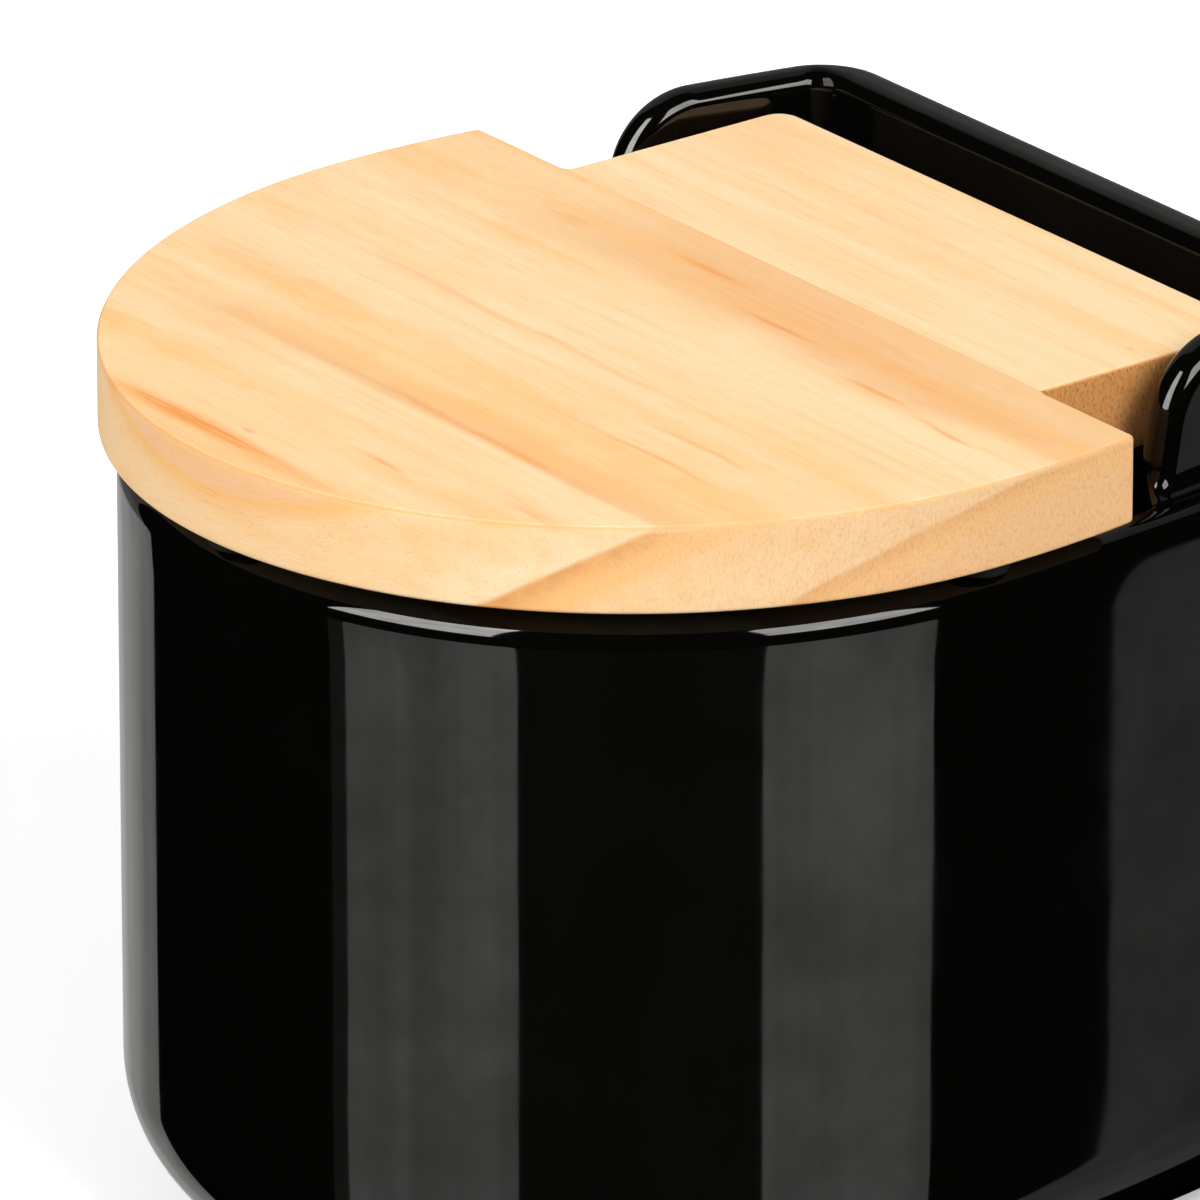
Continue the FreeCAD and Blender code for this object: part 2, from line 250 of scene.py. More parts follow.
def collar_section(s, rise, facing, collar):
    """The pot's section between the outer and inner rim rounds, at each station.

    Where there is a collar it goes along the ledge, up a hollow blend and the outer face, over
    the rounded edge and down the inner face to the sloping root. Where there is none it goes
    over the rim's land and inner round. The two are mixed by the weight called collar. The
    collar's rounded edge is measured square to its side view, so on the leaning front it is
    turned back along the rim. Returns inset, height, shift along the rim, and corner weight.
    """
    quarter = np.linspace(0, np.pi / 2, 12)
    t = np.linspace(0, 1, 12)
    flat = np.linspace(0, 1, 5)
    level = np.zeros((len(s), 1))
    full = np.ones(len(t))
    rise, facing, collar = rise[:, None], facing[:, None], collar[:, None]
    inner = MOUTH_INSET + (BACK_WALL_THICKNESS - CHEEK_THICKNESS) * ease(s - 2)[:, None]
    ledge_end = COLLAR_INSET - LEDGE_BLEND
    crest_z = RIM_Z + rise
    round_z = crest_z - EDGE_ROUND * np.cos(facing)
    blend_height = LEDGE_BLEND * np.clip((round_z - RIM_Z) / LEDGE_BLEND, 0, 1)
    blend_z = RIM_Z + blend_height
    face_top = np.maximum(round_z, RIM_Z)
    root_z = RIM_Z - COLLAR_ROOT
    root_top = root_z + inner - WALL
    drop_out = EDGE_ROUND * (1 - np.sin(quarter))
    drop_in = EDGE_ROUND * (1 - np.cos(quarter))
    turned = EDGE_ROUND * np.sin(facing)
    ledge_weight = LEDGE_SHARE * flat
    blend_weight = LEDGE_SHARE + (1 - LEDGE_SHARE) * t
    ledge = (
        RIM_OUTER_ROUND + (ledge_end - RIM_OUTER_ROUND) * flat + level,
        RIM_Z + 0 * flat + level,
        turned * ledge_weight,
        ledge_weight,
    )
    hollow_blend = (
        ledge_end + LEDGE_BLEND * np.sin(quarter) + level,
        RIM_Z + blend_height * (1 - np.cos(quarter)),
        turned * blend_weight,
        blend_weight,
    )
    outer_face = (
        COLLAR_INSET * full + level,
        blend_z + (face_top - blend_z) * t,
        turned * full,
        full,
    )
    outer_round = (
        COLLAR_INSET + drop_in + level,
        np.maximum(crest_z - np.cos(facing) * drop_out, RIM_Z),
        np.sin(facing) * drop_out,
        full,
    )
    crest = (
        COLLAR_INSET + EDGE_ROUND + (inner - COLLAR_INSET - 2 * EDGE_ROUND) * flat,
        crest_z + 0 * flat,
        level + 0 * flat,
        np.ones(len(flat)),
    )
    inner_round = (
        inner - drop_out,
        crest_z - np.cos(facing) * drop_in,
        np.sin(facing) * drop_in,
        full,
    )
    inner_face = (
        inner * full,
        round_z + (root_top - round_z) * t,
        turned * full,
        full,
    )
    root = (
        inner + (WALL - inner) * t,
        root_top + (root_z - root_top) * t,
        turned * (1 - t),
        1 - t,
    )
    runs = [ledge, hollow_blend, outer_face, outer_round, crest, inner_round, inner_face, root]
    inset, z, shift = (np.concatenate([run[i] for run in runs], 1) for i in range(3))
    weight = np.concatenate([run[3] for run in runs])
    land_end = RIM_OUTER_ROUND + RIM_LAND
    land = np.linspace(RIM_OUTER_ROUND, land_end, 3 * len(t) + 2 * len(flat))
    wall_z = np.linspace(RIM_Z - RIM_INNER_ROUND, root_z, 2 * len(t))
    rim_inset = np.concatenate([
        land,
        land_end + RIM_INNER_ROUND * np.sin(quarter),
        np.full(len(wall_z), WALL),
    ])
    rim_z = np.concatenate([
        np.full(len(land), RIM_Z),
        RIM_Z - RIM_INNER_ROUND * (1 - np.cos(quarter)),
        wall_z,
    ])
    mixed_inset = rim_inset + (inset - rim_inset) * collar
    mixed_z = rim_z + (z - rim_z) * collar
    return mixed_inset, mixed_z, shift * collar, weight


def pot_surface():
    """Half the pot's skin as a grid of stations by section points, from under the base to the floor.

    The section starts at the middle of the recess under the base and crosses the foot ring, the
    base's quarter round, the wall and the rim's outer round. Then comes the collar's section, the
    inner wall, the inner quarter round and the floor. Flat bottoms are copies of the plan drawn
    towards one middle point.
    """
    s, rise, facing, collar = rim_stations()
    section_inset, section_z, shift, weight = collar_section(s, rise, facing, collar)
    quarter = np.linspace(0, np.pi / 2, 28)
    short = np.linspace(0, np.pi / 2, 12)
    base_half_width = HALF_WIDTH - BASE_ROUND
    ring = 1 - FOOT_RING_WIDTH / base_half_width
    eased = FOOT_EASE / base_half_width
    ring_share = [ring - eased, ring, ring, ring + eased, (1 + ring) / 2, 1]
    under_share = np.array(RECESS_RINGS + ring_share)
    under_z = np.array([FOOT_RECESS] * 3 + [FOOT_RECESS - FOOT_EASE, FOOT_EASE, 0, 0, 0])
    wall_z = np.linspace(BASE_ROUND, RIM_Z - RIM_OUTER_ROUND, 16)[1:-1]
    outer_inset = np.concatenate([
        BASE_ROUND * (1 - np.sin(quarter)),
        0 * wall_z,
        RIM_OUTER_ROUND * (1 - np.cos(short)),
    ])
    outer_z = np.concatenate([
        BASE_ROUND * (1 - np.cos(quarter)),
        wall_z,
        RIM_Z - RIM_OUTER_ROUND * (1 - np.sin(short)),
    ])
    hollow_round = BASE_ROUND - WALL
    inner_wall_z = np.linspace(RIM_Z - COLLAR_ROOT, FLOOR_THICKNESS + hollow_round, 14)[1:-1]
    inner_inset = np.concatenate([
        0 * inner_wall_z + WALL,
        WALL + hollow_round * (1 - np.cos(quarter)),
    ])
    inner_z = np.concatenate([
        inner_wall_z,
        FLOOR_THICKNESS + hollow_round * (1 - np.sin(quarter)),
    ])
    floor_share = np.array(FLOOR_RINGS)
    inset_before = np.concatenate([0 * under_z + BASE_ROUND, outer_inset])
    inset_after = np.concatenate([inner_inset, 0 * floor_share + BASE_ROUND])
    z_before = np.concatenate([under_z, outer_z])
    z_after = np.concatenate([inner_z, 0 * floor_share + FLOOR_THICKNESS])

    def rows(before, middle, after):
        """The section's values at every station, the same ones before and after the collar."""
        plain = np.ones((len(s), 1))
        return np.concatenate([plain * before, middle, plain * after], 1)

    inset = rows(inset_before, section_inset, inset_after)
    z = rows(z_before, section_z, z_after)
    along = rows(0 * z_before, shift, 0 * z_after)
    corner_weight = np.concatenate([0 * z_before, weight, 0 * z_after])
    corner = BODY_CORNER + (COLLAR_CORNER - BODY_CORNER) * corner_weight + 0 * inset
    place = s[:, None] + along / ((SIDE_RADIUS - inset) * side_turn(corner))
    x, y = plan(place, inset, corner)
    upright = np.ones(len(outer_z) + len(weight) + len(inner_z))
    share = np.concatenate([under_share, upright, floor_share])
    return np.stack([x * share, MIDDLE_Y + (y - MIDDLE_Y) * share, z], -1)


def make_pot(material):
    """The glazed pot: the half skin and its mirror image, closed by a fan at the base and the floor."""
    half = pot_surface()
    grid = np.concatenate([half, half[-2:0:-1] * (-1, 1, 1)]).transpose(1, 0, 2)
    rows, columns = grid.shape[:2]
    poles = [(0, MIDDLE_Y, FOOT_RECESS), (0, MIDDLE_Y, FLOOR_THICKNESS)]
    points = np.concatenate([grid.reshape(-1, 3), poles])
    base_pole, floor_pole = rows * columns, rows * columns + 1
    first = np.arange(columns)
    last = first + (rows - 1) * columns
    base_fan = np.stack([np.roll(first, -1), first, 0 * first + base_pole], -1)
    floor_fan = np.stack([last, np.roll(last, -1), 0 * last + floor_pole], -1)
    faces = closed_quads(rows, columns).tolist() + base_fan.tolist() + floor_fan.tolist()
    pot = add_piece("pot_glazed", points, faces, material)
    cut_bores(pot)
    return pot


def cut_bores(pot):
    """Cuts the bore through both cheeks: one long cylinder along X, taken out of the mesh."""
    turn = stretch(0, 2 * np.pi, 64)
    ring_y = PIN_Y + BORE_RADIUS * np.cos(turn)
    ring_z = PIN_Z + BORE_RADIUS * np.sin(turn)
    ends = [np.stack([0 * turn + x, ring_y, ring_z], -1) for x in (-HALF_WIDTH, HALF_WIDTH)]
    count = len(turn)
    faces = closed_quads(2, count).tolist()
    faces += [list(range(count))[::-1], list(range(count, 2 * count))]
    cutter = add_piece("bore_cutter", np.concatenate(ends), faces, pot.data.materials[0])
    cut = pot.modifiers.new("bores", "BOOLEAN")
    cut.operation = "DIFFERENCE"
    cut.solver = "EXACT"
    cut.object = cutter
    whole = pot.data
    cut_pot = pot.evaluated_get(bpy.context.evaluated_depsgraph_get())
    drilled = bpy.data.meshes.new_from_object(cut_pot)
    pot.modifiers.clear()
    pot.data = drilled
    pot.data.name = "pot_glazed"
    pot.data.set_sharp_from_angle(angle=SHARP_ANGLE)
    bpy.data.meshes.remove(whole)
    bpy.data.meshes.remove(cutter.data)


# Lid

def board_solid(name, outline, normals, rounds, material):
    """A board from half its outline: each edge is a quarter round, the faces are flat.

    outline and normals are the right half, from the front middle to the back middle, rounds the
    edge radius at each point. A section point is the outline moved inwards by d at height z.
    """
    def whole(half, mirror):
        return np.concatenate([half, half[-2:0:-1] * mirror])

    outline, normals = whole(outline, (-1, 1)), whole(normals, (-1, 1))
    rounds = whole(rounds, 1)
    quarter = np.linspace(0, np.pi / 2, 7)
    upright = np.linspace(0, 1, 6)[1:-1]
    level = np.zeros(len(quarter) + 1)
    inward = np.concatenate([[1], 1 - np.sin(quarter), 0 * upright, 1 - np.cos(quarter), [1]])
    border = np.zeros(len(inward))
    border[[0, -1]] = FLAT_BORDER
    low = np.concatenate([[0], 1 - np.cos(quarter), 1 - upright, level])
    high = np.concatenate([level, upright - 1, np.sin(quarter) - 1, [0]])
    share = np.concatenate([level, upright, level + 1])
    d = inward[:, None] * rounds + border[:, None]
    z = LID_Z + (LID_TOP_Z - LID_Z) * share[:, None] + (low + high)[:, None] * rounds
    xy = outline - normals * d[..., None]
    points = np.concatenate([xy, z[..., None]], -1)
    rows, columns = points.shape[:2]
    faces = closed_quads(rows, columns).tolist()
    faces.append(list(range(columns))[::-1])
    faces.append(list(range((rows - 1) * columns, rows * columns)))
    return add_piece(name, points.reshape(-1, 3), faces, material)


def make_lid_board(material):
    """The front board: a quarter ellipse, the side's bow, a small round tip and a straight back."""
    oval = stretch(0, np.pi / 2, 90)
    bow_x = LID_HALF_WIDTH - LID_SIDE_RADIUS
    tip_reach = LID_SIDE_RADIUS - SHOULDER_TIP_ROUND
    tip_y = SHOULDER_Y - SHOULDER_TIP_ROUND
    bow_end = math.asin((tip_y - WIDEST_Y) / tip_reach)
    tip_x = bow_x + tip_reach * math.cos(bow_end)
    bow = stretch(0, bow_end, 16)
    tip = np.linspace(bow_end, np.pi / 2, 7)
    seam_x = np.append(TONGUE_HALF_WIDTH + SEAM_STEP, TONGUE_HALF_WIDTH * np.linspace(1, 0, 4))
    front = np.stack([LID_HALF_WIDTH * np.sin(oval), WIDEST_Y - LID_FRONT * np.cos(oval)], -1)
    front_normal = np.stack([LID_FRONT * np.sin(oval), -LID_HALF_WIDTH * np.cos(oval)], -1)
    front_normal /= np.linalg.norm(front_normal, axis=1)[:, None]
    bow_normal = np.stack([np.cos(bow), np.sin(bow)], -1)
    tip_normal = np.stack([np.cos(tip), np.sin(tip)], -1)
    back = np.stack([seam_x, 0 * seam_x + SHOULDER_Y], -1)
    back_normal = np.tile((0.0, 1.0), (len(back), 1))
    outline = np.concatenate([
        front,
        (bow_x, WIDEST_Y) + LID_SIDE_RADIUS * bow_normal,
        (tip_x, tip_y) + SHOULDER_TIP_ROUND * tip_normal,
        back,
    ])
    normals = np.concatenate([front_normal, bow_normal, tip_normal, back_normal])
    rounds = np.full(len(outline), LID_EDGE_ROUND)
    rounds[-len(back) + 1:] = GLUE_LINE_ROUND
    return board_solid("lid_board_wood", outline, normals, rounds, material)


def make_lid_tongue(material):
    """The tongue: a straight glue line, a straight side, a rounded rear corner and a straight end."""
    half = TONGUE_HALF_WIDTH
    corner_x = half - TONGUE_CORNER_RADIUS
    corner_y = TONGUE_HIGH[1] - TONGUE_CORNER_RADIUS
    seam_x = np.array([0, half / 2, half - SEAM_STEP])
    seam = np.stack([seam_x, 0 * seam_x + SHOULDER_Y], -1)
    seam_normal = np.tile((0.0, -1.0), (len(seam), 1))
    side_start = [SHOULDER_Y, SHOULDER_Y + SEAM_STEP]
    side_y = np.append(side_start, stretch(SHOULDER_Y + 2 * SEAM_STEP, corner_y, 6))
    side = np.stack([0 * side_y + half, side_y], -1)
    side_normal = np.tile((1.0, 0.0), (len(side), 1))
    side_normal[0] = (1.0, -1.0)
    bend = np.linspace(0, np.pi / 2, 12)
    bend_normal = np.stack([np.cos(bend), np.sin(bend)], -1)
    corner = (corner_x, corner_y) + TONGUE_CORNER_RADIUS * bend_normal
    end_x = np.array([corner_x / 2, 0])
    end = np.stack([end_x, 0 * end_x + TONGUE_HIGH[1]], -1)
    end_normal = np.tile((0.0, 1.0), (len(end), 1))
    outline = np.concatenate([seam, side, corner, end])
    normals = np.concatenate([seam_normal, side_normal, bend_normal, end_normal])
    rounds = np.full(len(outline), LID_EDGE_ROUND)
    rounds[:len(seam) + 1] = GLUE_LINE_ROUND
    return board_solid("lid_tongue_wood", outline, normals, rounds, material)


# Materials

class Finish:
    """A material whose nodes are added by short calls. Most calls return the new node's output."""

    def __init__(self, name):
        self.material = bpy.data.materials.new(name)
        self.material.use_nodes = True
        self.tree = self.material.node_tree
        self.shader = self.tree.nodes["Principled BSDF"]
        self.place = self.add("ShaderNodeTexCoord").outputs["Object"]

    def add(self, kind, **settings):
        node = self.tree.nodes.new(kind)
        for key, value in settings.items():
            setattr(node, key, value)
        return node

    def feed(self, socket, value):
        if isinstance(value, bpy.types.NodeSocket):
            self.tree.links.new(value, socket)
        else:
            socket.default_value = value

    def set(self, name, value):
        self.feed(self.shader.inputs[name], value)

    def mapped(self, scale, shift=(0, 0, 0), place=None):
        """A place, in metres on the object if none is given, multiplied by scale and moved by shift."""
        node = self.add("ShaderNodeMapping")
        self.feed(node.inputs["Vector"], self.place if place is None else place)
        node.inputs["Scale"].default_value = scale
        node.inputs["Location"].default_value = shift
        return node.outputs["Vector"]

    def noise(self, place, scale=1.0, detail=3.0, roughness=0.5):
        node = self.add("ShaderNodeTexNoise")
        self.feed(node.inputs["Vector"], place)
        node.inputs["Scale"].default_value = scale
        node.inputs["Detail"].default_value = detail
        node.inputs["Roughness"].default_value = roughness
        return node.outputs["Fac"]

    def math(self, operation, first, second=0.0):
        node = self.add("ShaderNodeMath", operation=operation)
        self.feed(node.inputs[0], first)
        self.feed(node.inputs[1], second)
        return node.outputs[0]

    def reach(self, first, second):
        """The long side of a right triangle whose short sides are first and second."""
        squares = self.math("MULTIPLY", first, first), self.math("MULTIPLY", second, second)
        return self.math("SQRT", self.math("ADD", *squares))

    def spread(self, value, low, high, to_low=0.0, to_high=1.0):
        """value carried from the range low..high to to_low..to_high, smoothly, and held there."""
        node = self.add("ShaderNodeMapRange", interpolation_type="SMOOTHSTEP")
        self.feed(node.inputs["Value"], value)
        node.inputs["From Min"].default_value = low
        node.inputs["From Max"].default_value = high
        node.inputs["To Min"].default_value = to_low
        node.inputs["To Max"].default_value = to_high
        return node.outputs["Result"]

    def mix(self, factor, first, second):
        node = self.add("ShaderNodeMix", data_type="RGBA")
        self.feed(node.inputs["Factor"], factor)
        self.feed(node.inputs["A"], first)
        self.feed(node.inputs["B"], second)
        return node.outputs["Result"]

    def axes(self, vector):
        node = self.add("ShaderNodeSeparateXYZ")
        self.feed(node.inputs[0], vector)
        return node.outputs

    def ramp(self, value, stops):
        """A colour ramp; stops are (place, colour) pairs."""
        node = self.add("ShaderNodeValToRGB")
        self.feed(node.inputs["Fac"], value)
        band = node.color_ramp
        band.interpolation = "EASE"
        while len(band.elements) < len(stops):
            band.elements.new(0.5)
        for element, (where, shade) in zip(band.elements, stops):
            element.position = where
            element.color = shade
        return node.outputs["Color"]

    def bump(self, height, distance, strength=1.0):
        node = self.add("ShaderNodeBump")
        self.feed(node.inputs["Height"], height)
        node.inputs["Distance"].default_value = distance
        node.inputs["Strength"].default_value = strength
        self.set("Normal", node.outputs["Normal"])


def colour(red, green, blue):
    """A colour as a screen shows it, 0 to 255, turned into light."""
    parts = np.array([red, green, blue]) / 255
    light = np.where(parts <= 0.04045, parts / 12.92, ((parts + 0.055) / 1.055) ** 2.4)
    return (*light.tolist(), 1.0)


def black_glaze():
    """Gloss black glaze: slow waves from the casting, faint pitting, and bare clay on the foot ring.

    The inner face of the collar's back wall is duller than the rest.
    """
    glaze = Finish("black_glaze")
    wave_height = 0.00004
    waves = glaze.noise(glaze.place, 38, 2)
    pits = glaze.math("MULTIPLY", glaze.noise(glaze.place, 420, 2), 0.012)
    glaze.bump(glaze.math("ADD", waves, pits), wave_height)
    _, depth, height = glaze.axes(glaze.place)
    cloud = glaze.noise(glaze.place, 60, 4, 0.6)
    ragged_height = glaze.math("ADD", height, glaze.math("MULTIPLY", cloud, 0.0006))
    bare = glaze.spread(ragged_height, 0.0005, 0.0009, 1, 0)
    black = glaze.mix(cloud, colour(3, 3, 2), colour(6, 6, 5))
    clay = glaze.mix(glaze.noise(glaze.place, 900, 3), colour(150, 136, 120), colour(196, 182, 164))
    glaze.set("Base Color", glaze.mix(bare, black, clay))
    gloss = glaze.spread(cloud, 0.3, 0.7, 0.03, 0.06)
    glaze.set("Roughness", glaze.math("ADD", gloss, glaze.math("MULTIPLY", bare, 0.7)))
    glaze.set("IOR", 1.5)
    wall_face = (BACK_Y - COLLAR_INSET - BACK_WALL_THICKNESS) * METRES
    from_wall_face = glaze.math("ABSOLUTE", glaze.math("SUBTRACT", depth, wall_face))
    dull = glaze.spread(from_wall_face, 0.0005, 0.0015, 0.3, 1)
    blotch = glaze.spread(glaze.noise(glaze.place, 45, 4, 0.6), 0.3, 0.7, 0.39, 0.61)
    glaze.set("Specular IOR Level", glaze.math("MULTIPLY", blotch, dull))
    return glaze.material


# Wood tones
HONEY = colour(240, 203, 155)
CREAM = colour(243, 215, 173)
AMBER = colour(240, 186, 120)
BROWN = colour(216, 152, 92)
PINK = colour(237, 188, 140)
STREAK = colour(228, 142, 66)

# The boards: places in millimetres, rings as (distance from the pith, tone), streaks as
# (x, y, half length, half width, depth), end grain as (tone, pore tone, share that shows)
BOARD_WOOD = {
    "base": HONEY,
    "flames": 1.0,
    "pith": (17.0, 8.0),
    "seed": (0, 0, 0),
    "rings": [
        (88.0, PINK),
        (98.0, PINK),
        (100.2, AMBER),
        (102.5, BROWN),
        (103.2, CREAM),
        (106.0, CREAM),
        (112.0, HONEY),
        (115.0, AMBER),
        (117.9, BROWN),
        (118.6, CREAM),
        (125.0, HONEY),
        (129.0, HONEY),
        (131.4, AMBER),
        (132.0, PINK),
        (135.0, PINK),
        (142.0, PINK),
    ],
    "streaks": [
        (10, 11, 52, 9, 0.3),
        (18, -40, 34, 4, 0.14),
        (-30, -44, 16, 6, 0.2),
        (-45, -30, 18, 5, 0.15),
        (-10, 12, 9, 0.8, 0.8),
        (10, 7.3, 9, 0.7, 0.8),
        (34, 3, 7, 0.7, 0.8),
        (49, 2, 7, 0.6, 0.7),
        (-32, 8.5, 4, 1.8, 0.4),
        (-12, -17, 45, 0.9, 0.35),
        (35, -24, 13, 0.6, 0.5),
        (33, -30, 16, 0.6, 0.5),
        (14, -41.8, 30, 0.9, 0.5),
        (16, -56, 6, 0.6, 0.6),
        (40, -52, 7, 1.6, 0.35),
        (-1, -63, 1.6, 0.6, 0.6),
        (-5, -66.3, 30, 2.0, 1.0),
    ],
    "end_grain": (colour(241, 193, 140), colour(214, 154, 102), 0.55),
}
TONGUE_WOOD = {
    "base": CREAM,
    "flames": 0.45,
    "pith": (20.0, 190.0),
    "seed": (3, 5, 7),
    "rings": [
        (70.0, CREAM),
        (82.0, HONEY),
        (90.0, CREAM),
        (100.0, HONEY),
    ],
    "streaks": [
        (42, 35.5, 1.0, 0.6, 0.7),
        (-38, 42, 16, 12, 0.12),
    ],
    # the tongue's end grain is darker than the board's partly as its own end-grain tone and partly as
    # painted shade, the shadow the cheek casts on the tongue's end
    "end_grain": (colour(206, 144, 80), colour(158, 98, 48), 0.95),
}
RINGS_ON_TOP = 0.35  # share of the rings that shows on the top face
TOP_SKIN = (1.2, 0.3)  # depths between which the edge's wood becomes the top face's
STREAK_SWAY = 0.004  # metres by which the streaks wander sideways


def wood_flames(wood, base, flames, seed):
    """Slow warm and pale flames along the grain, and a pale mottle, over the base tone."""
    flame = wood.noise(wood.mapped((9, 120, 120), seed), 1, 3, 0.55)
    mottle = wood.noise(wood.mapped((70, 160, 160), seed), 1, 3, 0.6)
    tone = wood.mix(wood.spread(flame, 0.46, 0.66, 0, 0.7 * flames), base, AMBER)
    tone = wood.mix(wood.spread(flame, 0.3, 0.46, 0.6 * flames, 0), tone, CREAM)
    return wood.mix(wood.spread(mottle, 0.42, 0.68, 0, 0.5 * flames), tone, CREAM)


def wood_rings(wood, y, z, bend, pith, rings):
    """The tone of the growth ring at the distance from the pith, to which bend is added."""
    away = wood.reach(wood.math("SUBTRACT", y, pith[0]), wood.math("SUBTRACT", z, pith[1]))
    first, last = rings[0][0], rings[-1][0]
    out = wood.math("SUBTRACT", wood.math("ADD", away, bend), first)
    stops = [((at - first) / (last - first), tone) for at, tone in rings]
    return wood.ramp(wood.math("DIVIDE", out, last - first), stops)


def wood_streaks(wood, tone, streaks, sway, top, seed):
    """Long soft spots on the top face, torn by fine noise along the grain."""
    offset = wood.add("ShaderNodeCombineXYZ")
    wood.feed(offset.inputs["Y"], wood.math("MULTIPLY", sway, STREAK_SWAY))
    swayed = wood.add("ShaderNodeVectorMath", operation="ADD")
    wood.feed(swayed.inputs[0], wood.place)
    wood.feed(swayed.inputs[1], offset.outputs[0])
    torn = wood.spread(wood.noise(wood.mapped((60, 900, 900), seed), 1, 3, 0.6), 0.3, 0.6, 0.35, 1.0)
    for x, y, half_length, half_width, depth in streaks:
        scale = (1 / (METRES * half_length), 1 / (METRES * half_width), 0)
        shift = (-x / half_length, -y / half_width, 0)
        out = wood.add("ShaderNodeVectorMath", operation="LENGTH")
        wood.feed(out.inputs[0], wood.mapped(scale, shift, swayed.outputs[0]))
        spot = wood.math("MULTIPLY", wood.spread(out.outputs["Value"], 0.1, 1.2, depth, 0), top)
        tone = wood.mix(wood.math("MULTIPLY", spot, torn), tone, STREAK)
    return tone


def pale_wood(name, base, flames, pith, seed, rings, streaks, end_grain):
    """Pale sanded wood, grain along X.

    Flames vary the base tone. The distance from the pith, a line along X at pith = (y, z), is bent
    a little by slow noise and picks the tone from rings; they fade towards the left and on the top
    face, where the streaks lie. Fibres stretched along X lie over it all, the rounded top edges get
    painted shade that makes them a little darker, and faces cut across the grain show pores.
    """
    wood = Finish(name)
    x, y, z = (wood.math("MULTIPLY", part, 1 / METRES) for part in wood.axes(wood.place))
    slow = wood.math("SUBTRACT", wood.noise(wood.mapped((16, 50, 50), seed), 1, 2), 0.5)
    sway = wood.math("SUBTRACT", wood.noise(wood.mapped((34, 6, 6), seed), 1, 2), 0.5)
    top = wood.spread(z, LID_TOP_Z - TOP_SKIN[0], LID_TOP_Z - TOP_SKIN[1])

    bend = wood.math("ADD", wood.math("MULTIPLY", slow, 1.6), wood.math("MULTIPLY", sway, 1.4))
    rings_from_left = wood.math("ADD", x, wood.math("MULTIPLY", slow, 50.0))
    rings_show = wood.math(
        "MULTIPLY",
        wood.spread(rings_from_left, -52, -6, 0.15, 1.0),
        wood.spread(top, 0, 1, 1.0, RINGS_ON_TOP),
    )
    tone = wood_flames(wood, base, flames, seed)
    tone = wood.mix(rings_show, tone, wood_rings(wood, y, z, bend, pith, rings))
    tone = wood_streaks(wood, tone, streaks, sway, top, seed)

    grain = wood.noise(wood.mapped((20, 380, 380), seed), 1, 4, 0.6)
    fibres = wood.noise(wood.mapped((150, 3600, 3600), seed), 1, 3, 0.6)
    tone = wood.mix(wood.spread(grain, 0.4, 0.72, 0, 0.45), tone, AMBER)
    tone = wood.mix(wood.spread(fibres, 0.54, 0.78, 0, 0.38), tone, STREAK)

    sideways, _, upward = wood.axes(wood.add("ShaderNodeNewGeometry").outputs["Normal"])
    # painted shade: the rounded top edges, picked by how far their normal tilts, are darkened towards
    # brown
    rounded = wood.math(
        "MULTIPLY",
        wood.spread(upward, 0.1, 0.4),
        wood.spread(upward, 0.75, 0.98, 1, 0),
    )
    tone = wood.mix(wood.math("MULTIPLY", rounded, 0.6), tone, BROWN)
    across_grain = wood.spread(wood.math("ABSOLUTE", sideways), 0.6, 1.0)
    pores = wood.noise(wood.mapped((3600, 3600, 1700), seed), 1, 4, 0.65)
    # on the tongue these end-grain tones are partly painted shade from the cheek as well as end grain
    end_tone = wood.mix(wood.spread(pores, 0.45, 0.72), end_grain[0], end_grain[1])
    tone = wood.mix(wood.math("MULTIPLY", across_grain, end_grain[2]), tone, end_tone)
    wood.set("Base Color", tone)
    pitted = wood.math("MULTIPLY", pores, across_grain)
    wood.bump(wood.math("ADD", wood.math("MULTIPLY", fibres, 0.6), pitted), 0.00012, 0.6)
    wood.set("Roughness", wood.spread(fibres, 0.3, 0.7, 0.6, 0.72))
    wood.set("Specular IOR Level", 0.08)
    return wood.material


def soft_rubber():
    """Matte rubber with a fine grain and a little dust."""
    rubber = Finish("soft_rubber")
    grain = rubber.noise(rubber.place, 2600, 3)
    dust = rubber.noise(rubber.place, 240, 3)
    rubber.set("Base Color", rubber.mix(dust, colour(20, 20, 20), colour(34, 34, 33)))
    rubber.set("Roughness", rubber.spread(grain, 0.3, 0.7, 0.6, 0.75))
    rubber.set("Specular IOR Level", 0.12)
    rubber.bump(grain, 0.00004)
    return rubber.material


def bush_plastic():
    """Turned plastic: fine rings round the bore, which runs along X."""
    plastic = Finish("bush_plastic")
    rings_per_metre = 42000.0 / (2 * math.pi)
    _, from_pin_y, from_pin_z = plastic.axes(
        plastic.mapped((1, 1, 1), (0, -PIN_Y * METRES, -PIN_Z * METRES))
    )
    turns = plastic.math("MULTIPLY", plastic.reach(from_pin_y, from_pin_z), 2 * math.pi * rings_per_metre)
    plastic.bump(plastic.math("SINE", turns), 0.000008)
    tone = plastic.noise(plastic.place, 600, 3)
    plastic.set("Base Color", plastic.mix(tone, colour(52, 52, 52), colour(74, 74, 74)))
    plastic.set("Roughness", plastic.spread(tone, 0.3, 0.7, 0.38, 0.5))
    return plastic.material


def pin_steel():
    """Drawn steel: fine lines along X."""
    steel = Finish("pin_steel")
    lines = steel.noise(steel.mapped((90, 5200, 5200)), 1, 3, 0.6)
    steel.set("Base Color", steel.mix(lines, colour(168, 168, 166), colour(214, 214, 212)))
    steel.set("Metallic", 1.0)
    steel.set("Roughness", steel.spread(lines, 0.3, 0.7, 0.22, 0.36))
    steel.bump(lines, 0.000006)
    return steel.material


# Stage

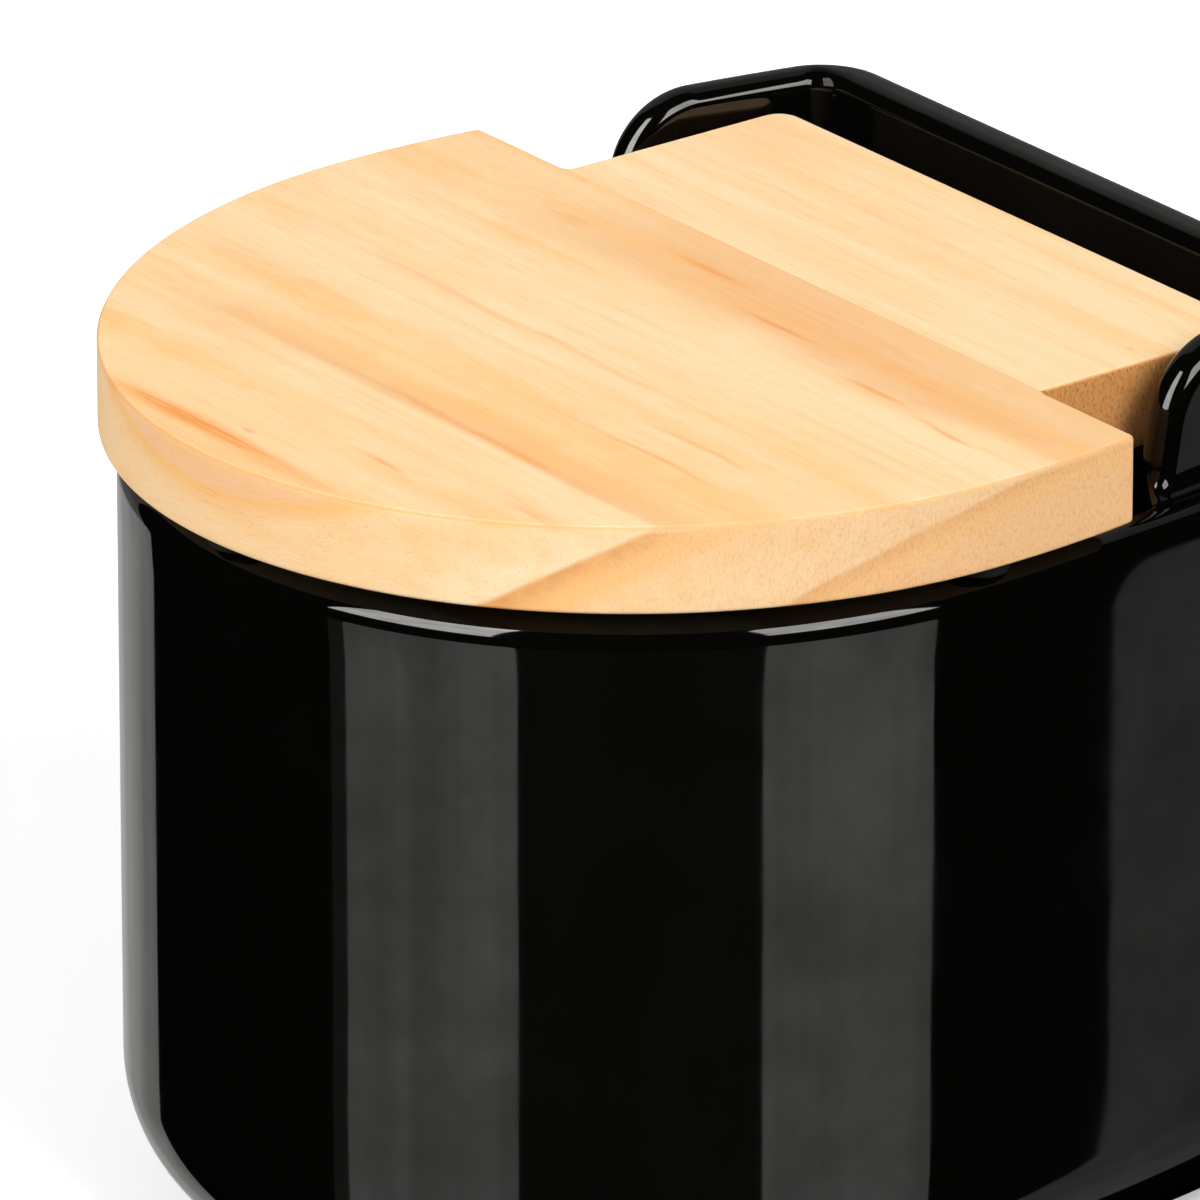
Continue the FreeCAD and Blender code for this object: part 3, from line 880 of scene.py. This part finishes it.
PHOTO_AZIMUTH = math.radians(52.42)
PHOTO_ELEVATION = math.radians(22.51)
AIM = Vector((0.0052, -0.01533, 0.07859))
CAMERA_DISTANCE = 2.0261
LENS = 510.0
SENSOR_WIDTH = 36
LIGHT_CENTRE = Vector((0, 0, 0.06))
SOFTBOX_DISTANCE = 3.0
SOFTBOX_RADIANCE = 9.0
CARD_RADIUS = 8000.0
REAR_CARD_RADIUS = 8500.0
CARD_CLOUDS = 0.14  # share by which the cards' glow varies
FLOOR_RADIUS = 4000.0
AMBIENT = 0.25
WHITE = (1, 1, 1, 1)
WARM_WHITE = (1, 0.985, 0.955, 1)
FLOOR_BOUNCE = (0.3, 0.3, 0.3, 1)  # the floor's colour for light that bounces to the object
FLOOR_GLOW = 0.25


def towards(azimuth, elevation):
    """Unit vector to a place round the object: azimuth from +X towards +Y, elevation; in degrees."""
    a, e = np.radians(azimuth), np.radians(elevation)
    return np.stack([np.cos(e) * np.cos(a), np.cos(e) * np.sin(a), np.sin(e) + 0 * a], -1)


def add_camera():
    """A long lens at the photograph's angle."""
    back = Vector((
        math.sin(PHOTO_AZIMUTH) * math.cos(PHOTO_ELEVATION),
        -math.cos(PHOTO_AZIMUTH) * math.cos(PHOTO_ELEVATION),
        math.sin(PHOTO_ELEVATION),
    ))
    data = bpy.data.cameras.new("camera")
    data.lens = LENS
    data.sensor_width = SENSOR_WIDTH
    camera = bpy.data.objects.new("camera", data)
    camera.location = AIM + back * CAMERA_DISTANCE
    camera.rotation_euler = (-back).to_track_quat("-Z", "Y").to_euler()
    bpy.context.scene.collection.objects.link(camera)
    bpy.context.scene.camera = camera


def add_softbox(name, azimuth, elevation, width, height):
    """A rectangular lamp that faces the object; its middle, width and height are in degrees."""
    wide = 2 * SOFTBOX_DISTANCE * math.tan(math.radians(width / 2))
    tall = 2 * SOFTBOX_DISTANCE * math.tan(math.radians(height / 2))
    data = bpy.data.lights.new(name, "AREA")
    data.shape = "RECTANGLE"
    data.size = wide
    data.size_y = tall
    data.energy = SOFTBOX_RADIANCE * math.pi * wide * tall
    lamp = bpy.data.objects.new(name, data)
    place = Vector(towards(azimuth, elevation))
    lamp.location = LIGHT_CENTRE + place * SOFTBOX_DISTANCE
    lamp.rotation_euler = place.to_track_quat("Z", "Y").to_euler()
    lamp.visible_camera = False
    lamp.visible_glossy = False
    bpy.context.scene.collection.objects.link(lamp)


def glow(name, radiance):
    """A glowing material with slow clouds in it, so that its reflection isn't flat."""
    finish = Finish(name)
    cloud = finish.noise(finish.place, 0.9, 3)
    dimmest, brightest = (1 - CARD_CLOUDS) * radiance, (1 + CARD_CLOUDS) * radiance
    finish.set("Base Color", (0, 0, 0, 1))
    finish.set("Specular IOR Level", 0.0)
    finish.set("Emission Color", WARM_WHITE)
    finish.set("Emission Strength", finish.spread(cloud, 0.3, 0.7, dimmest, brightest))
    return finish.material


def add_card(name, azimuths, elevations, radiance, corner=0.0, radius=CARD_RADIUS):
    """A card that only gloss sees: a patch of a wide sphere between two azimuths and two elevations.

    Its two upper corners are rounded: corner degrees below the top both ends start to draw in.
    """
    low, high = elevations
    up = np.append(stretch(low, high - corner, 12), high - corner * np.linspace(1, 0, 8))
    near_top = np.clip(1 - (high - up) / max(corner, 1e-6), 0, 1)
    drawn_in = corner * (1 - np.sqrt(1 - near_top ** 2))[:, None]
    wide = azimuths[1] - azimuths[0] - 2 * drawn_in
    azimuth = azimuths[0] + drawn_in + wide * np.linspace(0, 1, 24)
    elevation = up[:, None] + 0 * azimuth
    points = radius * towards(azimuth, elevation).reshape(-1, 3)
    index = np.arange(azimuth.size).reshape(azimuth.shape)
    corners = [index[:-1, :-1], index[1:, :-1], index[1:, 1:], index[:-1, 1:]]
    quads = np.stack(corners, -1).reshape(-1, 4)
    card = add_piece(name, points, quads.tolist(), glow(name, radiance))
    card.visible_camera = False
    card.visible_diffuse = False
    card.visible_transmission = False
    card.visible_shadow = False


def add_floor():
    """A pale disc under the object. Gloss doesn't see it, as if dark flags stood round the object."""
    turn = stretch(0, 2 * np.pi, 64)
    rim = np.stack([FLOOR_RADIUS * np.cos(turn), FLOOR_RADIUS * np.sin(turn), 0 * turn], -1)
    finish = Finish("pale_floor")
    seen = finish.add("ShaderNodeLightPath").outputs["Is Camera Ray"]
    finish.set("Base Color", finish.mix(seen, FLOOR_BOUNCE, WHITE))
    finish.set("Emission Color", WHITE)
    finish.set("Emission Strength", finish.math("MULTIPLY", seen, FLOOR_GLOW))
    finish.set("Roughness", 1.0)
    finish.set("Specular IOR Level", 0.0)
    floor = add_piece("floor", rim, [list(range(len(turn)))], finish.material)
    floor.visible_glossy = False


def add_world():
    """White to the camera, a soft ambient light on matte surfaces, and nothing in gloss."""
    world = bpy.data.worlds.new("studio")
    world.use_nodes = True
    nodes = world.node_tree.nodes
    background = nodes["Background"]
    path = nodes.new("ShaderNodeLightPath")
    strength = nodes.new("ShaderNodeMix")
    strength.inputs["A"].default_value = AMBIENT
    strength.inputs["B"].default_value = 1.0
    world.node_tree.links.new(path.outputs["Is Camera Ray"], strength.inputs["Factor"])
    world.node_tree.links.new(strength.outputs["Result"], background.inputs["Strength"])
    background.inputs["Color"].default_value = WHITE
    world.cycles_visibility.glossy = False
    bpy.context.scene.world = world


def light_stage():
    """Two softboxes for the matte surfaces, and the cards whose reflections stripe the glaze.

    Places are in degrees: azimuths and elevations of each card's ends, then its radiance.
    """
    add_softbox("left_softbox", -90, 36, 40, 26)
    add_softbox("right_softbox", 6, 36, 35, 26)
    low = (-75, -17)
    soft = 1.8
    rounded = 6
    add_card("far_left_card", (145, 188), low, 0.58)
    add_card("left_sliver_card", (-105.5, -101.4), low, 0.11)
    add_card("left_card", (-101.4, -60.7), low, 0.98, soft)
    add_card("front_card", (-60.7, -10.8), low, 0.03)
    add_card("right_card", (-10.8, 24), low, 0.94, soft)
    add_card("far_right_card", (46, 75), (-125, -18.8), 0.34, soft)
    add_card("left_glint_card", (-105, -66), (16, 62), 9.0, rounded)
    add_card("right_glint_card", (-10, 25), (22, 50), 7.0, rounded)
    add_card("rear_card", (78, 187), (-30, 66), 0.25, radius=REAR_CARD_RADIUS)


# Object

def dress(piece, body, node):
    """Puts a finished piece on its body, in place of the construction node."""
    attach(piece, body)
    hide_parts(node)


def finish_node(node, material):
    """Gives a construction node its finish in place of the plain one."""
    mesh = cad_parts[node].data
    mesh.materials.clear()
    mesh.materials.append(material)


dress(make_pot(black_glaze()), "pot", "pot")
board_wood = pale_wood("board_wood", **BOARD_WOOD)
dress(make_lid_board(board_wood), "lid", "lid_board")
tongue_wood = pale_wood("tongue_wood", **TONGUE_WOOD)
dress(make_lid_tongue(tongue_wood), "lid", "lid_tongue")
rubber = soft_rubber()
for place in ("front", "left", "right"):
    finish_node(f"lid_bumper_{place}", rubber)
plastic = bush_plastic()
steel = pin_steel()
for place in ("left", "right"):
    finish_node(f"hinge_bush_{place}", plastic)
    finish_node(f"hinge_pin_{place}", steel)

add_floor()
add_world()
light_stage()
add_camera()
bpy.context.scene.view_settings.view_transform = "Standard"
